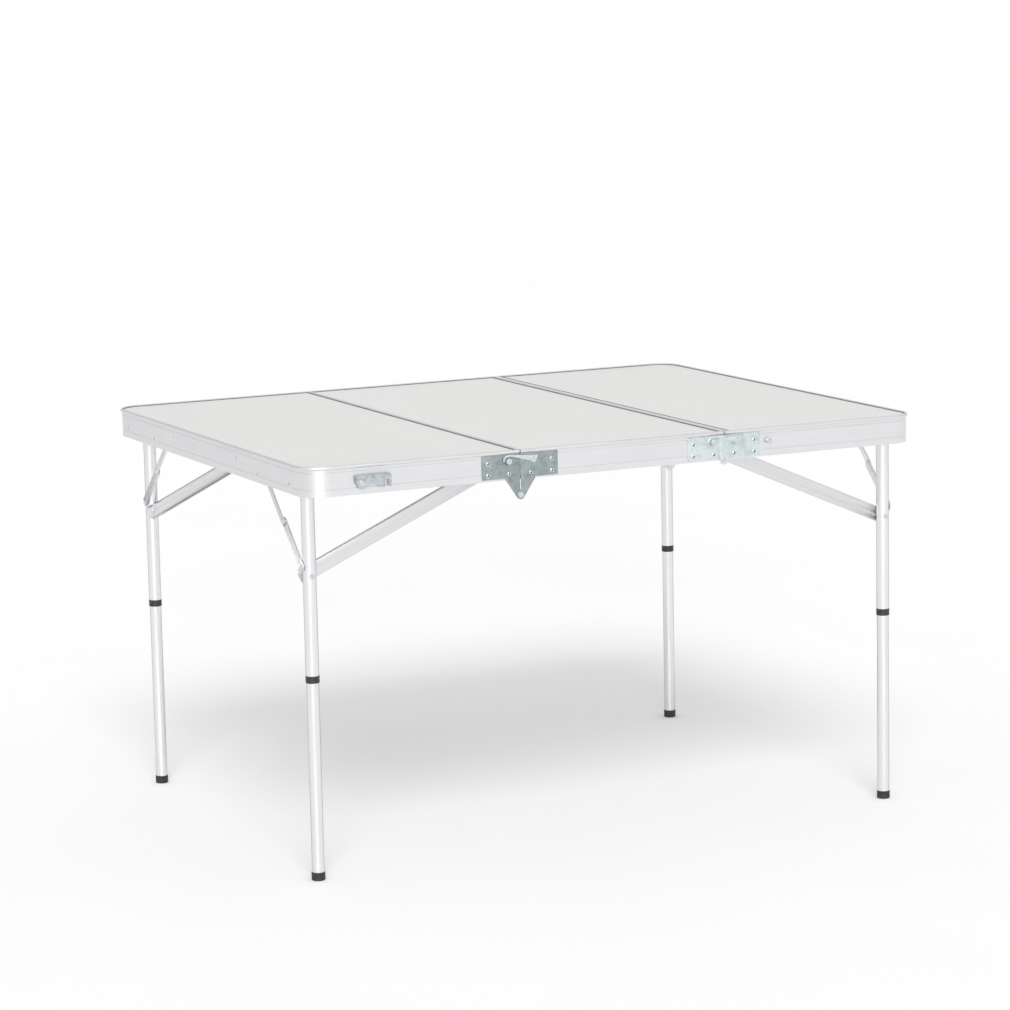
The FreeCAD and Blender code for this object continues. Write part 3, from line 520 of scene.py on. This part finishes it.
def collar(leg):
    """Moulded locking ring with two grip bands and a lip under the tube."""
    node = leg + "_leg_collar"
    base, outer, tall = stand_of(node)
    bore = LOWER_TUBE_RADIUS + 0.0004
    socket = UPPER_TUBE_RADIUS + 0.00006
    socket_floor = 0.009
    profile = [
        (bore, 0.0002),
        (bore + 0.0004, 0.0),
        (outer - 0.0006, 0.0),
        (outer - 0.0001, 0.0006),
        *grooves(outer, (tall * 0.36, tall * 0.62), 0.0010, 0.0006, 0.0003),
        (outer, tall - 0.0007),
        (outer - 0.0003, tall - 0.0001),
        (socket + 0.0001, tall),
        (socket, tall - 0.0002),
        (socket, socket_floor),
        (bore, socket_floor),
        (bore, 0.0002),
    ]
    shape = bmesh.new()
    turned(shape, profile, base, UPRIGHT, MOULDING_SEGMENTS)
    bmesh.ops.remove_doubles(shape, verts=shape.verts, dist=PROFILE_WELD)
    bmesh.ops.recalc_face_normals(shape, faces=shape.faces)
    item = piece(node + "_moulded", shape, [BLACK_PLASTIC], BODY_OF[node])
    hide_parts(node)


def foot(leg):
    """Rubber cap with a hollow tread, two grooves and a rolled top."""
    node = leg + "_leg_foot"
    base, outer, tall = stand_of(node)
    socket = LOWER_TUBE_RADIUS + 0.00001
    socket_floor = 0.0041
    tread_hollow = 0.0009
    profile = [
        (0.0, tread_hollow),
        (outer * 0.45, tread_hollow),
        (outer * 0.55, 0.0),
        (outer - 0.0016, 0.0),
        (outer - 0.0005, 0.0006),
        (outer, 0.0018),
        *grooves(outer, (tall * 0.38, tall * 0.62), 0.0009, 0.0005, 0.0004),
        (outer - 0.0001, tall - 0.0010),
        (outer - 0.0004, tall - 0.0002),
        (socket + 0.0002, tall),
        (socket, tall - 0.0003),
        (socket, socket_floor),
        (0.0, socket_floor),
    ]
    shape = bmesh.new()
    turned(shape, profile, base, UPRIGHT, MOULDING_SEGMENTS)
    bmesh.ops.recalc_face_normals(shape, faces=shape.faces)
    item = piece(node + "_moulded", shape, [BLACK_RUBBER], BODY_OF[node])
    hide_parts(node)


# ---------------------------------------------------------------- beads and trim of the top

# The top in metres; the bead lies GASKET_INSET inside the rail's outer face.
HALF_LENGTH = 0.580
HALF_WIDTH = 0.455
CORNER_RADIUS = 0.045
BOARD_TOP = 0.6972
SEAM_X = 1.160 / 6.0
SEAM_HALF_GAP = 0.0008
SEAM_WALL = 0.0024
SEAM_INSET = SEAM_HALF_GAP + SEAM_WALL
TRIM_INSET = 0.0165
GASKET_INSET = 0.0052
GASKET_RADIUS = 0.0006
GASKET_RISE = 0.0014
GASKET_SINK = 0.0001
GASKET_POINTS = 7
SQUARE_CORNER = 0.0009
ROUND_STEPS = 14
SQUARE_STEPS = 3


def bead_path(left, right, round_left, round_right):
    """Closed loop in XY round a board, anticlockwise, with round or nearly square corners."""
    front = -HALF_WIDTH + GASKET_INSET
    back = HALF_WIDTH - GASKET_INSET
    corners = [
        (left, front, round_left, 180.0),
        (right, front, round_right, 270.0),
        (right, back, round_right, 0.0),
        (left, back, round_left, 90.0),
    ]
    loop = []
    for x, y, rounded, start in corners:
        radius = CORNER_RADIUS - GASKET_INSET if rounded else SQUARE_CORNER
        cx = x + radius if x == left else x - radius
        cy = y + radius if y == front else y - radius
        count = ROUND_STEPS if rounded else SQUARE_STEPS
        for step in range(count + 1):
            angle = math.radians(start + 90.0 * step / count)
            loop.append(Vector((cx + radius * math.cos(angle), cy + radius * math.sin(angle), 0.0)))
    return loop


def gasket(name, left, right, round_left, round_right, body):
    """Dark sealing bead where a board meets its rail."""
    loop = bead_path(left, right, round_left, round_right)
    total = len(loop)
    shape = bmesh.new()
    rings = []
    for index, spot in enumerate(loop):
        along = (loop[(index + 1) % total] - loop[index - 1]).normalized()
        out = Vector((along.y, -along.x, 0.0))
        ring = []
        for part in range(GASKET_POINTS):
            angle = math.pi * part / (GASKET_POINTS - 1.0)
            shift = out * (GASKET_RADIUS * math.cos(angle))
            rise = GASKET_RISE * math.sin(angle)
            height = Vector((0.0, 0.0, BOARD_TOP - GASKET_SINK + rise))
            ring.append(shape.verts.new(spot + shift + height))
        rings.append(ring)
    for index, ring in enumerate(rings):
        after = rings[(index + 1) % total]
        for part in range(GASKET_POINTS):
            other = (part + 1) % GASKET_POINTS
            shape.faces.new([ring[part], ring[other], after[other], after[part]])
    bmesh.ops.recalc_face_normals(shape, faces=shape.faces)
    piece(name, shape, [GASKET], body)


def trim_strip():
    """Flat aluminium strip that covers the right board's edge beside the seam."""
    left = SEAM_X + SEAM_INSET + 0.0002
    right = SEAM_X + TRIM_INSET - GASKET_RADIUS
    half = HALF_WIDTH - GASKET_INSET - 0.0004
    low = BOARD_TOP - 0.0002
    high = BOARD_TOP + 0.0005
    chamfer = 0.0003
    profile = [
        (left, low),
        (left, high - chamfer),
        (left + chamfer, high),
        (right - chamfer, high),
        (right, high - chamfer),
        (right, low),
    ]
    shape = bmesh.new()
    ends = [[shape.verts.new((x, y, z)) for x, z in profile] for y in (-half, half)]
    count = len(profile)
    for index in range(count):
        after = (index + 1) % count
        shape.faces.new([ends[0][index], ends[0][after], ends[1][after], ends[1][index]])
    shape.faces.new(ends[0][::-1])
    shape.faces.new(ends[1])
    bmesh.ops.recalc_face_normals(shape, faces=shape.faces)
    piece("right_trim_strip", shape, [SEAM], "right_panel", smooth=False)


LEFT_END = -HALF_LENGTH + GASKET_INSET
RIGHT_END = HALF_LENGTH - GASKET_INSET
gasket("left_gasket", LEFT_END, -SEAM_X - SEAM_INSET, True, False, "left_panel")
gasket("middle_gasket", -SEAM_X + SEAM_INSET, SEAM_X - SEAM_INSET, False, False, "middle_panel")
gasket("right_gasket", SEAM_X + TRIM_INSET, RIGHT_END, False, True, "right_panel")
trim_strip()

# ---------------------------------------------------------------- pieces that replace CAD nodes

SHEET_EDGE = 0.0003
CHANNEL_EDGE = 0.0004

for panel in ("left", "middle", "right"):
    panel_rivets(panel + "_panel_rivets")
for leg in LEGS:
    collar(leg)
    foot(leg)
    bevelled(leg + "_leg_brace", CHANNEL_EDGE)
    bevelled(leg + "_strut_lower", SHEET_EDGE)
    bevelled(leg + "_strut_upper", SHEET_EDGE)
for side in SIDES:
    bevelled(side + "_hinge_outer_leaves", SHEET_EDGE)
    bevelled(side + "_hinge_middle_leaves", SHEET_EDGE)
    for end in ENDS:
        bevelled("%s_%s_hook" % (side, end), SHEET_EDGE)
for end in ENDS:
    bevelled(end + "_clasp", SHEET_EDGE)


# ---------------------------------------------------------------- floor, light and camera

FLOOR_HALF_SIZE = 160.0


def floor():
    """Pale matt floor that runs out of view."""
    size = FLOOR_HALF_SIZE
    mesh = bpy.data.meshes.new("floor")
    corners = [(-size, -size, 0.0), (size, -size, 0.0), (size, size, 0.0), (-size, size, 0.0)]
    mesh.from_pydata(corners, [], [(0, 1, 2, 3)])
    made = Surface("floor", grey(0.88), 0.9)
    made.shader.inputs["Specular IOR Level"].default_value = 0.1
    made.colour(made.noise(2.0, 3.0, 0.5), [(0.3, grey(0.876)), (0.7, grey(0.886))])
    mesh.materials.append(made.material)
    item = bpy.data.objects.new("floor", mesh)
    bpy.context.scene.collection.objects.link(item)
    item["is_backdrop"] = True


def heading(azimuth, elevation):
    """Direction seen from the table; azimuth turns from the front."""
    a = math.radians(azimuth)
    e = math.radians(elevation)
    return Vector((math.sin(a) * math.cos(e), -math.cos(a) * math.cos(e), math.sin(e)))


def sun(name, azimuth, elevation, strength, spread):
    """Distant soft light that comes from a heading."""
    light = bpy.data.lights.new(name, "SUN")
    light.energy = strength
    light.angle = math.radians(spread)
    item = bpy.data.objects.new(name, light)
    bpy.context.scene.collection.objects.link(item)
    toward = heading(azimuth, elevation)
    item.rotation_euler = (-toward).to_track_quat("-Z", "Y").to_euler()
    item.location = toward * 10.0


def camera(azimuth, elevation, roll, distance, aim, lens):
    """Camera on a heading from aim; roll is about the line of sight."""
    back = heading(azimuth, elevation)
    right = (-back).cross(UPRIGHT).normalized()
    up = right.cross(-back)
    r = math.radians(roll)
    side = right * math.cos(r) + up * math.sin(r)
    top = up * math.cos(r) - right * math.sin(r)
    data = bpy.data.cameras.new("camera")
    data.lens = lens
    data.sensor_width = 36.0
    data.clip_end = 600.0
    item = bpy.data.objects.new("camera", data)
    bpy.context.scene.collection.objects.link(item)
    place = Vector(aim) + back * distance
    item.matrix_world = Matrix.Translation(place) @ Matrix((side, top, back)).transposed().to_4x4()
    bpy.context.scene.camera = item


def surround():
    """Soft white world, darker low behind the left end."""
    world = bpy.data.worlds.new("studio")
    bpy.context.scene.world = world
    world.use_nodes = True
    tree = world.node_tree
    background = tree.nodes["Background"]
    background.inputs["Color"].default_value = (1.0, 1.0, 1.0, 1.0)
    direction = tree.nodes.new("ShaderNodeTexCoord")
    facing = tree.nodes.new("ShaderNodeVectorMath")
    facing.operation = "DOT_PRODUCT"
    facing.inputs[1].default_value = Vector((0.60, -0.30, 0.74)).normalized()
    tree.links.new(direction.outputs["Generated"], facing.inputs[0])
    strength = tree.nodes.new("ShaderNodeMapRange")
    strength.interpolation_type = "SMOOTHSTEP"
    strength.inputs["From Min"].default_value = -0.6
    strength.inputs["From Max"].default_value = 0.0
    strength.inputs["To Min"].default_value = 0.50
    strength.inputs["To Max"].default_value = 0.80
    tree.links.new(facing.outputs["Value"], strength.inputs["Value"])
    tree.links.new(strength.outputs["Result"], background.inputs["Strength"])


floor()
surround()
sun("key", azimuth=-22.0, elevation=44.0, strength=1.4, spread=26.0)
sun("fill", azimuth=-24.0, elevation=12.0, strength=0.65, spread=20.0)
bpy.context.scene.view_settings.view_transform = "Standard"
camera(
    azimuth=-25.673,
    elevation=9.223,
    roll=-1.200,
    distance=6.327,
    aim=(0.0084, 0.0271, 0.5228),
    lens=124.65,
)

boxes = {"cad": cad_box, "visual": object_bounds()}
{key: [list(corner) for corner in pair] for key, pair in boxes.items()}
